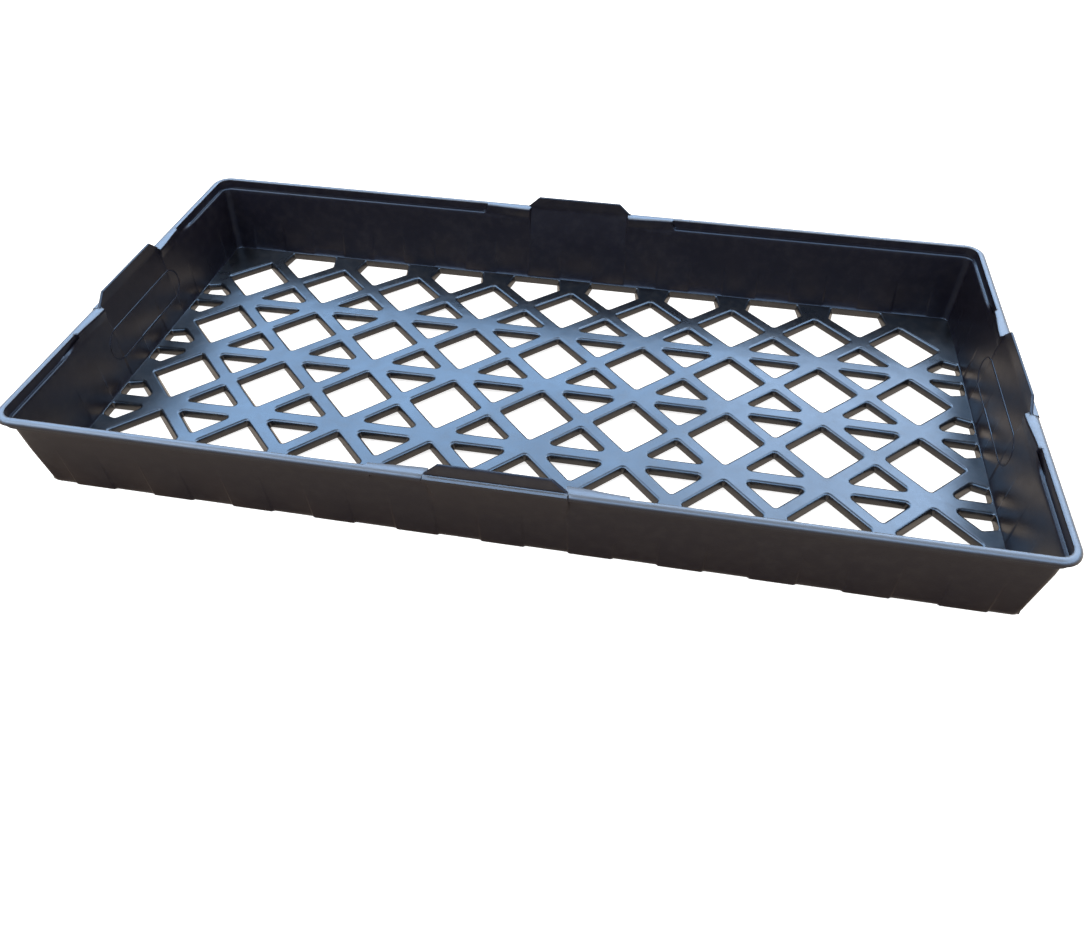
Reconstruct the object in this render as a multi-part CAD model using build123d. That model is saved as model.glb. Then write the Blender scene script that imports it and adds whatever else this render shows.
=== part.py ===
from build123d import *
import os

os.makedirs("parts", exist_ok=True)

# Mesh-bottom carrier tray, standard 1020 size, one injection moulding in polypropylene.
# Frame: origin under the middle of the base, +X along the length, +Y to the rear, +Z up.
# The moulding is written out as its moulded regions, which meet face to face.

# ---- driving dimensions, mm -------------------------------------------------
RIM_X, RIM_Y = 273.0, 140.0         # half sizes of the outer edge of the rim
RIM_Z = 56.5                        # top of the rim above the bench
RIM_R = 12.0                        # plan radius of the rim corners
FLANGE_T = 2.0                      # thickness of the rim flange
LIP_T = 1.6                         # thickness of the turned-down lip
LIP_Z = 53.5                        # lower edge of the lip
UPPER_X, UPPER_Y = 268.6, 135.0     # inside face above the shoulder
SHOULDER_X, SHOULDER_Y = 266.0, 132.6  # inside face just below the shoulder
SHOULDER_Z = 50.5                   # top face of the shoulder
BASE_X, BASE_Y = 261.0, 124.0       # inside face at the bench
WALL_T = 1.8                        # wall thickness, measured level
WALL_Z = SHOULDER_Z - WALL_T        # top of the drafted lower wall
INNER_R = 4.5                       # plan radius inside the wall corners

FLOOR_T = 5.0                       # depth of the floor mesh
PITCH_X, PITCH_Y = 57.0, 57.0       # diagonal sizes of one mesh diamond, bar centre to bar centre
BAR_W = 8.2                         # width of a diagonal bar
LONG_BAR_W = 9.0                    # width of a lengthwise bar
PAD_GAP = 19.0                      # half width of an edge opening between its wall pads
EDGE_STRIP = 0.6                    # strip between an edge opening and the wall
HOLE_R = 1.8                        # plan radius in the corners of the openings

FLUTE_PITCH = 47.0                  # spacing of the raised wall bands
FLUTE_OUT = 1.0                     # how far a band stands out at the bench
FLUTE_Z = 33.0                      # height where a band fades into the wall
FLUTES_LONG, FLUTES_END = 11, 5     # bands on a long side and on an end

GRIP_W = 36.5                       # half width of a grip panel
GRIP_TOP_W = 28.5                   # half width of its raised tab
GRIP_Z = 22.0                       # height where the grip starts to swell outwards
TAB_Z = 64.3                        # top of the raised tab
TAB_LONG, TAB_END = 2.0, 3.5        # how far a tab stands in from the rim's edge, long sides and ends
NECK_LONG, NECK_END = 66.0, 62.0    # where the shoulder starts, from the middle of a side

CORNER_X, CORNER_Y = 255.0, 119.0   # where a straight side hands over to a corner


# ---- helpers ----------------------------------------------------------------
def box(x0, x1, y0, y1, z0, z1):
    centre = Pos((x0 + x1) / 2, (y0 + y1) / 2, (z0 + z1) / 2)
    return centre * Box(x1 - x0, y1 - y0, z1 - z0)


def frustum(x0, y0, r0, z0, x1, y1, r1, z1):
    """Straight-sided solid between two rounded rectangles given by half sizes."""
    low = Pos(0, 0, z0) * RectangleRounded(2 * x0, 2 * y0, r0)
    high = Pos(0, 0, z1) * RectangleRounded(2 * x1, 2 * y1, r1)
    return loft([low.face(), high.face()], ruled=True)


def ring(x_out, y_out, r_out, x_in, y_in, r_in, z0, z1):
    outer = extrude(RectangleRounded(2 * x_out, 2 * y_out, r_out), z1 - z0)
    inner = extrude(RectangleRounded(2 * x_in, 2 * y_in, r_in), z1 - z0)
    return Pos(0, 0, z0) * (outer - inner)


def prism_u(points, half_width):
    """Extrude an (out, z) outline along X, centred, standing out towards +Y."""
    face = make_face(Plane.YZ * Polyline([*points, points[0]]))
    return extrude(face, half_width, both=True)


def as_one(shape):
    solids = shape.solids()
    return max(solids, key=lambda s: s.volume)


def turn(shape, side):
    """Bring a feature drawn on the rear side to another side of the tray."""
    angle = {"rear": 0, "left": 90, "front": 180, "right": 270}[side]
    return Rot(0, 0, angle) * shape


def save(shape, name):
    solid = as_one(shape)
    solid.label = name
    export_step(solid, f"parts/{name}.step")


SIDES = ("front", "rear", "left", "right")


def is_long(side):
    return side in ("front", "rear")


def wall_in(side, z):
    """Inside face of the drafted wall at a height, measured out from the centre line."""
    base, top = (BASE_Y, SHOULDER_Y) if is_long(side) else (BASE_X, SHOULDER_X)
    return base + (top - base) * z / SHOULDER_Z


# ---- lower wall ring --------------------------------------------------------
share = WALL_Z / SHOULDER_Z
TOP_X = BASE_X + (SHOULDER_X - BASE_X) * share
TOP_Y = BASE_Y + (SHOULDER_Y - BASE_Y) * share
cavity = frustum(BASE_X, BASE_Y, INNER_R, 0, TOP_X, TOP_Y, INNER_R, WALL_Z)
wall_body = frustum(BASE_X + WALL_T, BASE_Y + WALL_T, INNER_R + WALL_T, 0,
                    TOP_X + WALL_T, TOP_Y + WALL_T, INNER_R + WALL_T, WALL_Z)
wall_ring = wall_body - cavity


def side_zone(side, z0, z1):
    """Block around the straight run of one side."""
    if is_long(side):
        return turn(box(-CORNER_X, CORNER_X, CORNER_Y, RIM_Y + 5, z0, z1), side)
    return turn(box(-CORNER_Y, CORNER_Y, CORNER_X, RIM_X + 5, z0, z1), side)


def corner_zone(sx, sy, z0, z1):
    x = sorted((sx * CORNER_X, sx * (RIM_X + 5)))
    y = sorted((sy * CORNER_Y, sy * (RIM_Y + 5)))
    return box(x[0], x[1], y[0], y[1], z0, z1)


def flute(side, u):
    """One raised band: proud at the bench, fading into the drafted wall."""
    foot = wall_in(side, 0) + WALL_T
    head = wall_in(side, FLUTE_Z) + WALL_T
    outline = [(foot - 0.9, 0), (foot + FLUTE_OUT, 0), (head, FLUTE_Z), (head - 0.9, FLUTE_Z)]
    return Pos(u, 0, 0) * prism_u(outline, FLUTE_PITCH / 4)


def side_wall(side):
    wall = wall_ring & side_zone(side, -1, WALL_Z + 1)
    count = FLUTES_LONG if is_long(side) else FLUTES_END
    for k in range(count):
        u = (k - (count - 1) / 2) * FLUTE_PITCH
        wall = wall + turn(flute(side, u), side)
    reach = RIM_Y if is_long(side) else RIM_X
    gap = box(-GRIP_W, GRIP_W, reach - 40, reach + 5, GRIP_Z, WALL_Z + 1)
    return wall - turn(gap, side)


for side in SIDES:
    save(side_wall(side), f"wall_{side}")

CORNERS = {"front_left": (-1, -1), "front_right": (1, -1), "rear_left": (-1, 1), "rear_right": (1, 1)}
for name, (sx, sy) in CORNERS.items():
    save(wall_ring & corner_zone(sx, sy, -1, WALL_Z + 1), f"wall_corner_{name}")


# ---- grip panels with their raised tabs -------------------------------------
def grip(side):
    rim = RIM_Y if is_long(side) else RIM_X
    inset = TAB_LONG if is_long(side) else TAB_END
    face = rim - inset - WALL_T
    start = wall_in(side, GRIP_Z)
    mouth = wall_in(side, WALL_Z)
    swell = [(start + WALL_T, GRIP_Z), (face + 1.0, LIP_Z - 2), (face + WALL_T, LIP_Z), (rim, LIP_Z), (rim, RIM_Z)]
    outside = prism_u([(start, GRIP_Z), *swell, (mouth, RIM_Z), (mouth, WALL_Z)], GRIP_W)
    hollow_face = [(start, GRIP_Z), (face - 1.0, LIP_Z - 2), (face, RIM_Z), (face, RIM_Z + 1)]
    back = [(mouth - 20, RIM_Z + 1), (mouth - 20, GRIP_Z)]
    inside = prism_u([*hollow_face, *back], GRIP_W - WALL_T)
    panel = outside - inside
    tab_outline = [(-GRIP_W, RIM_Z), (GRIP_W, RIM_Z), (GRIP_TOP_W, TAB_Z), (-GRIP_TOP_W, TAB_Z)]
    tab_face = make_face(Plane.XZ * Polyline([*tab_outline, tab_outline[0]]))
    tab = Pos(0, rim - inset, 0) * extrude(tab_face, WALL_T)
    return turn(panel + tab, side)


for side in SIDES:
    save(grip(side), f"grip_{side}")


# ---- rim: shoulder, upper wall, flange and lip ------------------------------
def offset_ring(out_0, out_1, z0, z1):
    """Level ring between two insets from the outer edge of the rim."""
    return ring(RIM_X - out_0, RIM_Y - out_0, RIM_R - out_0, RIM_X - out_1, RIM_Y - out_1,
                RIM_R - out_1, z0, z1)


upper_out = RIM_X - UPPER_X - WALL_T
shoulder = ring(RIM_X - upper_out, RIM_Y - upper_out, RIM_R - upper_out, SHOULDER_X, SHOULDER_Y,
                INNER_R, WALL_Z, SHOULDER_Z)
upper = offset_ring(upper_out, RIM_X - UPPER_X, SHOULDER_Z, RIM_Z - FLANGE_T)
flange = offset_ring(0, RIM_X - UPPER_X, RIM_Z - FLANGE_T, RIM_Z)
lip = offset_ring(0, LIP_T, LIP_Z, RIM_Z - FLANGE_T)
rim_ring = shoulder + upper + flange + lip

for name, (sx, sy) in CORNERS.items():
    save(rim_ring & corner_zone(sx, sy, WALL_Z - 1, RIM_Z + 1), f"rim_corner_{name}")


def rim_run(side, way):
    """Straight rim between a grip and a corner; way is +1 or -1 along the side."""
    long = is_long(side)
    end = CORNER_X if long else CORNER_Y
    neck = NECK_LONG if long else NECK_END
    rim = RIM_Y if long else RIM_X
    wall = SHOULDER_Y if long else SHOULDER_X
    inner = UPPER_Y if long else UPPER_X
    runs = [
        box(neck, end, wall, inner + WALL_T, WALL_Z, SHOULDER_Z),
        box(neck, end, inner, inner + WALL_T, SHOULDER_Z, RIM_Z - FLANGE_T),
        box(neck, end, inner, rim, RIM_Z - FLANGE_T, RIM_Z),
        box(GRIP_W, neck, wall, rim, RIM_Z - FLANGE_T, RIM_Z),
        box(GRIP_W, neck, wall, wall + WALL_T, WALL_Z, RIM_Z - FLANGE_T),
        box(neck - WALL_T, neck, wall, inner + WALL_T, WALL_Z, RIM_Z - FLANGE_T),
        box(GRIP_W, end, rim - LIP_T, rim, LIP_Z, RIM_Z - FLANGE_T),
    ]
    run = runs[0]
    for piece in runs[1:]:
        run = run + piece
    if way < 0:
        run = mirror(run, Plane.YZ)
    return turn(run, side)


RUNS = {
    "front_left": ("front", 1), "front_right": ("front", -1),
    "rear_left": ("rear", -1), "rear_right": ("rear", 1),
    "left_front": ("left", -1), "left_rear": ("left", 1),
    "right_front": ("right", 1), "right_rear": ("right", -1),
}
for name, (side, way) in RUNS.items():
    save(rim_run(side, way), f"rim_{name}")


# ---- floor mesh -------------------------------------------------------------
HX, HY = PITCH_X / 2, PITCH_Y / 2
diagonal = (HX**2 + HY**2) ** 0.5
shrink = 1 - BAR_W * diagonal / (2 * HX * HY)
AX, AY = HX * shrink, HY * shrink       # half diagonals of a full opening
COLUMNS, ROWS = 8, 4                    # mesh nodes either side of the middle


def opening(points, radius=HOLE_R):
    outline = make_face(Polyline([*points, points[0]]))
    rounded = fillet(outline.vertices(), radius)
    return Pos(0, 0, -1) * extrude(rounded, FLOOR_T + 2)


def openings():
    holes = []
    half = LONG_BAR_W / 2
    cut = AX * (1 - half / AY)
    lean = AY / AX
    for i in range(-COLUMNS - 1, COLUMNS + 2):
        for j in range(-ROWS, ROWS + 1):
            if (i + j) % 2 == 0:
                continue
            x, y = i * HX, j * HY
            at_end, at_side = abs(i) > COLUMNS, abs(j) == ROWS
            if at_end and at_side:
                continue
            if at_side:
                s = 1 if j > 0 else -1
                edge = s * (BASE_Y - EDGE_STRIP) - y
                knee = -s * (AY - PAD_GAP * lean)
                pts = [(0, -s * AY), (PAD_GAP, knee), (PAD_GAP - 2.5, edge),
                       (-PAD_GAP + 2.5, edge), (-PAD_GAP, knee)]
                holes.append([(x + px, y + py) for px, py in pts])
            elif at_end:
                s = 1 if i > 0 else -1
                edge = s * (BASE_X - EDGE_STRIP) - x
                knee = -s * (AX - PAD_GAP / lean)
                for t in (1, -1):
                    pts = [(-s * cut, t * half), (knee, t * PAD_GAP), (edge, t * (PAD_GAP - 2.5)),
                           (edge, t * half)]
                    holes.append([(x + px, y + py) for px, py in pts])
            elif j % 2 == 0:
                for t in (1, -1):
                    pts = [(cut, t * half), (0, t * AY), (-cut, t * half)]
                    holes.append([(x + px, y + py) for px, py in pts])
            else:
                pts = [(AX, 0), (0, AY), (-AX, 0), (0, -AY)]
                holes.append([(x + px, y + py) for px, py in pts])
    return [opening(points) for points in holes]


plate = box(-BASE_X - 5, BASE_X + 5, -BASE_Y - 5, BASE_Y + 5, 0, FLOOR_T) & cavity
mesh = plate - openings()

BAND_X, BAND_Y = BASE_X - EDGE_STRIP, BASE_Y - EDGE_STRIP
half = LONG_BAR_W / 2
BARS = {"rear": 2 * HY, "middle": 0.0, "front": -2 * HY}
for name, y in BARS.items():
    save(mesh & box(-BAND_X, BAND_X, y - half, y + half, -1, FLOOR_T + 1), f"floor_bar_{name}")

save(mesh & box(-BASE_X - 5, BASE_X + 5, BAND_Y, BASE_Y + 5, -1, FLOOR_T + 1), "floor_edge_rear")
save(mesh & box(-BASE_X - 5, BASE_X + 5, -BASE_Y - 5, -BAND_Y, -1, FLOOR_T + 1), "floor_edge_front")
save(mesh & box(-BASE_X - 5, -BAND_X, -BAND_Y, BAND_Y, -1, FLOOR_T + 1), "floor_edge_left")
save(mesh & box(BAND_X, BASE_X + 5, -BAND_Y, BAND_Y, -1, FLOOR_T + 1), "floor_edge_right")


def gusset_block(sx, sy):
    """Corner plate region beyond the last diagonal bar."""
    reach_x = (COLUMNS + 1) * HX + BAR_W * diagonal / (2 * HY)
    top = ROWS * HY
    foot = (ROWS - 1) * HY
    a = (sx * (reach_x - HX), sy * top)
    b = (sx * reach_x, sy * foot)
    run = 12.0
    slope = (b[0] - a[0]) / (b[1] - a[1])
    a2 = (a[0] + slope * sy * run, a[1] + sy * run)
    b2 = (b[0] - slope * sy * run, b[1] - sy * run)
    far = (sx * (BASE_X + 40), sy * (BASE_Y + 40))
    pts = [a2, b2, (far[0], b2[1]), far, (a2[0], far[1])]
    return extrude(make_face(Polyline([*pts, pts[0]])), FLOOR_T + 2)


inner_mesh = mesh & box(-BAND_X, BAND_X, -BAND_Y, BAND_Y, -1, FLOOR_T + 1)
for name, (sx, sy) in CORNERS.items():
    block = Pos(0, 0, -1) * gusset_block(sx, sy)
    save(inner_mesh & block, f"floor_gusset_{name}")
    inner_mesh = inner_mesh - block

edges = [BAND_Y + 1, 2 * HY, 0.0, -2 * HY, -BAND_Y - 1]
for k in range(4):
    top = edges[k] - (half if k > 0 else 0)
    low = edges[k + 1] + (half if k < 3 else 0)
    save(inner_mesh & box(-BASE_X, BASE_X, low, top, -1, FLOOR_T + 1), f"floor_mesh_row_{k + 1}")
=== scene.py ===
import math

import bmesh
import bpy
from mathutils import Matrix, Vector


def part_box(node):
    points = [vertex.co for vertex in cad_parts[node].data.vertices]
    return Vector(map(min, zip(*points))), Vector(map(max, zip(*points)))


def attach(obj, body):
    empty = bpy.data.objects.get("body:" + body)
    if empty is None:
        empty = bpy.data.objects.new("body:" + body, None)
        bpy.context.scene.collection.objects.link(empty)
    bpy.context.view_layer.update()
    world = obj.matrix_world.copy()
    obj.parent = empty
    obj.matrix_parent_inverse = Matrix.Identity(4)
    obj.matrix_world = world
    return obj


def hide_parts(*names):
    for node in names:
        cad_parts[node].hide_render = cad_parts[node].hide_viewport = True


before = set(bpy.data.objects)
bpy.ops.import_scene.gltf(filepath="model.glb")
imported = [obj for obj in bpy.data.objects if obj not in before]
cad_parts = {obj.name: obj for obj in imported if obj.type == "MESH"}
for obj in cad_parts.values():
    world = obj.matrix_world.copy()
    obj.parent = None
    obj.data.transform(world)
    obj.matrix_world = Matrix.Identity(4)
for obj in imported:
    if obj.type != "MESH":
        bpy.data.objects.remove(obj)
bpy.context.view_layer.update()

bl_info = {
    "name": "Mesh-bottom carrier tray",
    "version": (1, 0, 0),
    "blender": (4, 5, 0),
    "location": "3D View > Sidebar > Carrier tray",
    "description": "Builds a moulded carrier tray: open mesh floor, fluted walls, rolled rim and grips",
    "category": "Add Mesh",
}

MM = 0.001

# grain sizes of the moulded surface, metres
FLOW_MARK = 0.060
SCUFF = 0.006
SKIN_GRAIN = 0.0012


# ---- sizes read from the frame ------------------------------------------------
def span(*names):
    """Lowest and highest corners of several nodes together, in mm."""
    boxes = [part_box(name) for name in names]
    low = [min(b[0][k] for b in boxes) / MM for k in range(3)]
    high = [max(b[1][k] for b in boxes) / MM for k in range(3)]
    return low, high


SIDES = ("front", "rear", "left", "right")
CORNERS = ("front_left", "front_right", "rear_left", "rear_right")
RUNS = ("front_left", "front_right", "rear_left", "rear_right",
        "left_front", "left_rear", "right_front", "right_rear")
FLOOR_NODES = ([f"floor_mesh_row_{k}" for k in (1, 2, 3, 4)]
               + [f"floor_bar_{name}" for name in ("rear", "middle", "front")]
               + [f"floor_edge_{side}" for side in SIDES]
               + [f"floor_gusset_{corner}" for corner in CORNERS])
SHELL_NODES = ([f"wall_{side}" for side in SIDES] + [f"wall_corner_{corner}" for corner in CORNERS]
               + [f"grip_{side}" for side in SIDES] + [f"rim_{run}" for run in RUNS]
               + [f"rim_corner_{corner}" for corner in CORNERS])

rim_low, rim_high = span(*[f"rim_corner_{corner}" for corner in CORNERS])
grip_low, grip_high = span("grip_front")
bar_low, bar_high = span("floor_bar_middle")
edge_low, edge_high = span("floor_edge_right")
rear_bar_low, rear_bar_high = span("floor_bar_rear")

RIM_X, RIM_Y, RIM_Z = rim_high[0], rim_high[1], rim_high[2]
TAB_Z = grip_high[2]
GRIP_Z = grip_low[2]
GRIP_HALF = grip_high[0]
FLOOR_TOP = bar_high[2]
LONG_BAR = bar_high[1] - bar_low[1]
ROW_PITCH = (rear_bar_high[1] + rear_bar_low[1]) / 2
EDGE_BAND = edge_low[0]
SIDE_BAND = span("floor_edge_rear")[0][1]

# ---- sizes of this moulding, mm -----------------------------------------------
FLOOR_FOOT = 0.3
FOOT_CHAMFER = 0.45
CRISP = 0.25
PLATE_LAP = 0.12
ARC_STEPS = 4
HALF_COLUMNS, HALF_ROWS = 9, 4
SIDE_PAD, END_PAD, PAD_JOG = 19.0, 17.5, 2.5
END_GAIN, SIDE_GAIN = 0.4, 1.0
BESIDE_WALL = 0.6
FLOOR_IN_WALL = 0.9
CORNER_X, CORNER_Y = 255.0, 119.0
SHOULDER_Z = 50.5
LIP_Z = 53.5
WALL_R, RIM_R = 4.5, 12.0
INNER_X, INNER_Y = 261.0, 124.0
SHOULDER_X, SHOULDER_Y = 266.0, 132.6
LEDGE = 4.7
TAB_LONG, TAB_END = 2.0, 3.5
TAB_HALF = 28.5
STEP_BLEND = 0.8
GRIP_BLEND_LOW, GRIP_BLEND_TOP = 9.0, 48.5
CORNER_STEPS = 9
OVAL_STEPS = 72


# ---- settings -----------------------------------------------------------------
def length(label, value, note):
    return bpy.props.FloatProperty(name=label, default=value, description=note, unit="NONE")


class CarrierTrayFloorSettings(bpy.types.PropertyGroup):
    pitch_x: length("Mesh pitch along", 57.0, "Length of one diamond, bar centre to bar centre, mm")
    pitch_y: length("Mesh pitch across", ROW_PITCH, "Width of one diamond, bar centre to bar centre, mm")
    bar: length("Bar width", 8.8, "Width of a diagonal bar, mm")
    long_bar: length("Long bar width", LONG_BAR, "Width of a lengthwise bar, mm")
    corner: length("Opening corner", 1.8, "Plan radius in the corners of an opening, mm")
    soft: length("Edge rounding", 1.7, "Rounding along the upper edges of the bars, mm")
    draft: length("Opening draft", 1.3, "How far an opening narrows towards the bench, mm")
    top: length("Floor top", FLOOR_TOP, "Height of the mesh above the bench at the walls, mm")
    crown: length("Crown", 3.1, "How far the middle of the moulded mesh bows up, mm")


class CarrierTrayShellSettings(bpy.types.PropertyGroup):
    wall: length("Wall thickness", 1.8, "Thickness of the walls, mm")
    flute_out: length("Band depth", 0.9, "How far a wall band stands out at the bench, mm")
    flute_pitch: length("Band spacing", 47.0, "Spacing of the wall bands, mm")
    flute_top: length("Band height", 33.0, "Height where a band fades into the wall, mm")
    bead: length("Rim rounding", 2.6, "Radius over the outer edge of the rim, mm")


class CarrierTrayLookSettings(bpy.types.PropertyGroup):
    plastic: bpy.props.StringProperty(name="Plastic", default="0E0D10",
                                      description="Colour of the black polypropylene, sRGB hex")
    wall_plastic: bpy.props.StringProperty(name="Wall plastic", default="131119",
                                           description="Colour of the thinner walls, sRGB hex")
    dust: bpy.props.StringProperty(name="Dust", default="4A443C",
                                   description="Colour of the dry dust film, sRGB hex")
    ground: bpy.props.StringProperty(name="Floor", default="F4F3F1",
                                     description="Colour of the studio floor, sRGB hex")


# ---- small helpers ------------------------------------------------------------
def linear(code):
    """sRGB hex to a linear colour with alpha."""
    channels = [int(code[k:k + 2], 16) / 255 for k in (0, 2, 4)]
    curve = [c / 12.92 if c <= 0.04045 else ((c + 0.055) / 1.055) ** 2.4 for c in channels]
    return (*curve, 1.0)


def add_node(tree, kind, settings=None, inputs=None, links=None):
    """Add a node, set its options and input values, and link other sockets into it."""
    node = tree.nodes.new(kind)
    for key, value in (settings or {}).items():
        setattr(node, key, value)
    for key, value in (inputs or {}).items():
        node.inputs[key].default_value = value
    for key, source in (links or {}).items():
        tree.links.new(source, node.inputs[key])
    return node


def new_object(name, mesh):
    piece = bpy.data.objects.new(name, mesh)
    bpy.context.scene.collection.objects.link(piece)
    return piece


def settle(piece, *nodes):
    """Ride a finished piece on the tray and let it stand for its CAD nodes."""
    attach(piece, "root")
    if nodes:
        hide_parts(*nodes)


def smooth(t):
    t = min(1.0, max(0.0, t))
    return t * t * (3 - 2 * t)


def mix(a, b, t):
    return a + (b - a) * t


# ---- materials ----------------------------------------------------------------
def polypropylene(name, plastic, dust, rough, dust_amount, flow=1.0, shine=0.5, rim_highlight=False):
    """Injection-moulded black polypropylene. A satin skin with faint orange peel and flow marks,
    fine scuffs that dull the shine, and a thin film of dry dust from greenhouse use."""
    material = bpy.data.materials.new(name)
    material.use_nodes = True
    tree = material.node_tree
    tree.nodes.clear()
    place = add_node(tree, "ShaderNodeTexCoord").outputs["Object"]
    # broad flow marks, about 60 mm across
    flow_marks = add_node(tree, "ShaderNodeTexNoise",
                          inputs={"Scale": 1 / FLOW_MARK, "Detail": 3.0, "Roughness": 0.55},
                          links={"Vector": place}).outputs["Fac"]
    # handling scuffs, 6 mm patches broken up by 1 mm detail
    scuffs = add_node(tree, "ShaderNodeTexNoise",
                      inputs={"Scale": 1 / SCUFF, "Detail": 5.0, "Roughness": 0.65},
                      links={"Vector": place}).outputs["Fac"]
    # mould skin, 0.5 mm grain drawn at 1.2 mm so that it shows
    skin = add_node(tree, "ShaderNodeTexNoise", inputs={"Scale": 1 / SKIN_GRAIN, "Detail": 2.0},
                    links={"Vector": place}).outputs["Fac"]
    dusty = add_node(tree, "ShaderNodeMapRange",
                     inputs={"From Min": 0.45, "From Max": 0.75, "To Min": 0.0, "To Max": dust_amount},
                     links={"Value": scuffs}).outputs["Result"]
    dusty = add_node(tree, "ShaderNodeMath", {"operation": "MULTIPLY"},
                     links={0: dusty, 1: flow_marks}).outputs["Value"]
    colour = add_node(tree, "ShaderNodeMix", {"data_type": "RGBA"}, links={"Factor": dusty})
    for socket in colour.inputs:
        if socket.type == "RGBA":
            socket.default_value = linear(plastic) if socket.name == "A" else linear(dust)
    tint = [s for s in colour.outputs if s.type == "RGBA"][0]
    patch = add_node(tree, "ShaderNodeMapRange",
                     inputs={"From Min": 0.3, "From Max": 0.7, "To Min": rough - 0.05 * flow,
                             "To Max": rough + 0.07 * flow}, links={"Value": flow_marks}).outputs["Result"]
    fine = add_node(tree, "ShaderNodeMapRange",
                    inputs={"From Min": 0.4, "From Max": 0.75, "To Min": -0.01, "To Max": 0.06},
                    links={"Value": scuffs}).outputs["Result"]
    roughness = add_node(tree, "ShaderNodeMath", {"operation": "ADD"},
                         links={0: patch, 1: fine}).outputs["Value"]
    broad = add_node(tree, "ShaderNodeBump", inputs={"Strength": 0.25 * flow, "Distance": 0.004},
                     links={"Height": flow_marks}).outputs["Normal"]
    bump = add_node(tree, "ShaderNodeBump", inputs={"Strength": 0.12, "Distance": 0.0002},
                    links={"Height": skin, "Normal": broad}).outputs["Normal"]
    shader = add_node(tree, "ShaderNodeBsdfPrincipled",
                      inputs={"IOR": 1.49, "Metallic": 0.0, "Specular IOR Level": shine},
                      links={"Base Color": tint, "Roughness": roughness, "Normal": bump})
    if rim_highlight:
        # painted highlight: the level face at the top of the rim is mixed toward a pale grey and given more
        # shine, so it reads as lit
        height = add_node(tree, "ShaderNodeSeparateXYZ", links={"Vector": place}).outputs["Z"]
        above = add_node(tree, "ShaderNodeMapRange", links={"Value": height},
                         inputs={"From Min": (RIM_Z - 3.0) * MM,
                                 "From Max": (RIM_Z - 0.5) * MM}).outputs["Result"]
        below = add_node(tree, "ShaderNodeMapRange", links={"Value": height},
                         inputs={"From Min": (RIM_Z + 0.6) * MM,
                                 "From Max": (RIM_Z + 0.2) * MM}).outputs["Result"]
        facing = add_node(tree, "ShaderNodeNewGeometry").outputs["Normal"]
        up = add_node(tree, "ShaderNodeSeparateXYZ", links={"Vector": facing}).outputs["Z"]
        level = add_node(tree, "ShaderNodeMapRange", links={"Value": up},
                         inputs={"From Min": 0.3, "From Max": 0.95}).outputs["Result"]
        zone = add_node(tree, "ShaderNodeMath", {"operation": "MULTIPLY"}, links={0: above, 1: below})
        highlight_mask = add_node(tree, "ShaderNodeMath", {"operation": "MULTIPLY"},
                          links={0: zone.outputs["Value"], 1: level}).outputs["Value"]
        sheen = add_node(tree, "ShaderNodeMapRange", inputs={"To Min": shine, "To Max": 0.5},
                         links={"Value": highlight_mask}).outputs["Result"]
        tree.links.new(sheen, shader.inputs["Specular IOR Level"])
        pale_highlight = add_node(tree, "ShaderNodeMix", {"data_type": "RGBA"}, links={"Factor": highlight_mask})
        sockets = {socket.identifier: socket for socket in pale_highlight.inputs}
        tree.links.new(tint, sockets["A_Color"])
        # pale grey of the painted rim highlight
        sockets["B_Color"].default_value = linear("5E636A")
        highlighted_tint = [socket for socket in pale_highlight.outputs if socket.type == "RGBA"][0]
        tree.links.new(highlighted_tint, shader.inputs["Base Color"])
    add_node(tree, "ShaderNodeOutputMaterial", links={"Surface": shader.outputs["BSDF"]})
    return material


def plastic_for(use):
    """One finish for the floor mesh, one for the walls and rim."""
    look = bpy.context.scene.carrier_tray_look
    name = f"injection_moulded_polypropylene_{use}"
    if name in bpy.data.materials:
        return bpy.data.materials[name]
    if use == "mesh":
        return polypropylene(name, look.plastic, look.dust, rough=0.30, dust_amount=0.5, shine=0.62)
    # walls and rim: painted highlight on the rim's level face
    return polypropylene(name, look.wall_plastic, look.dust, rough=0.32, dust_amount=0.2,
                         flow=0.5, shine=0.28, rim_highlight=True)


# ---- floor mesh ---------------------------------------------------------------
def rounded(points, radius, steps=4):
    """Round the corners of a closed outline given counter-clockwise; each corner becomes an arc."""
    outline = []
    count = len(points)
    for k in range(count):
        here = Vector(points[k])
        back = (Vector(points[k - 1]) - here)
        ahead = (Vector(points[(k + 1) % count]) - here)
        half = back.angle(ahead) / 2
        reach = min(radius / math.tan(half), 0.45 * min(back.length, ahead.length))
        size = reach * math.tan(half)
        middle = here + (back.normalized() + ahead.normalized()).normalized() * (size / math.sin(half))
        start = here + back.normalized() * reach - middle
        turn = math.pi - 2 * half
        for s in range(steps + 1):
            angle = turn * s / steps
            outline.append((middle.x + start.x * math.cos(angle) - start.y * math.sin(angle),
                            middle.y + start.x * math.sin(angle) + start.y * math.cos(angle)))
    return outline


def away(outline):
    """Unit plan directions that point from the opening into the bar around it."""
    count = len(outline)
    result = []
    for k in range(count):
        along = Vector(outline[(k + 1) % count]) - Vector(outline[k - 1])
        result.append(Vector((along.y, -along.x)).normalized())
    return result


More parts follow.
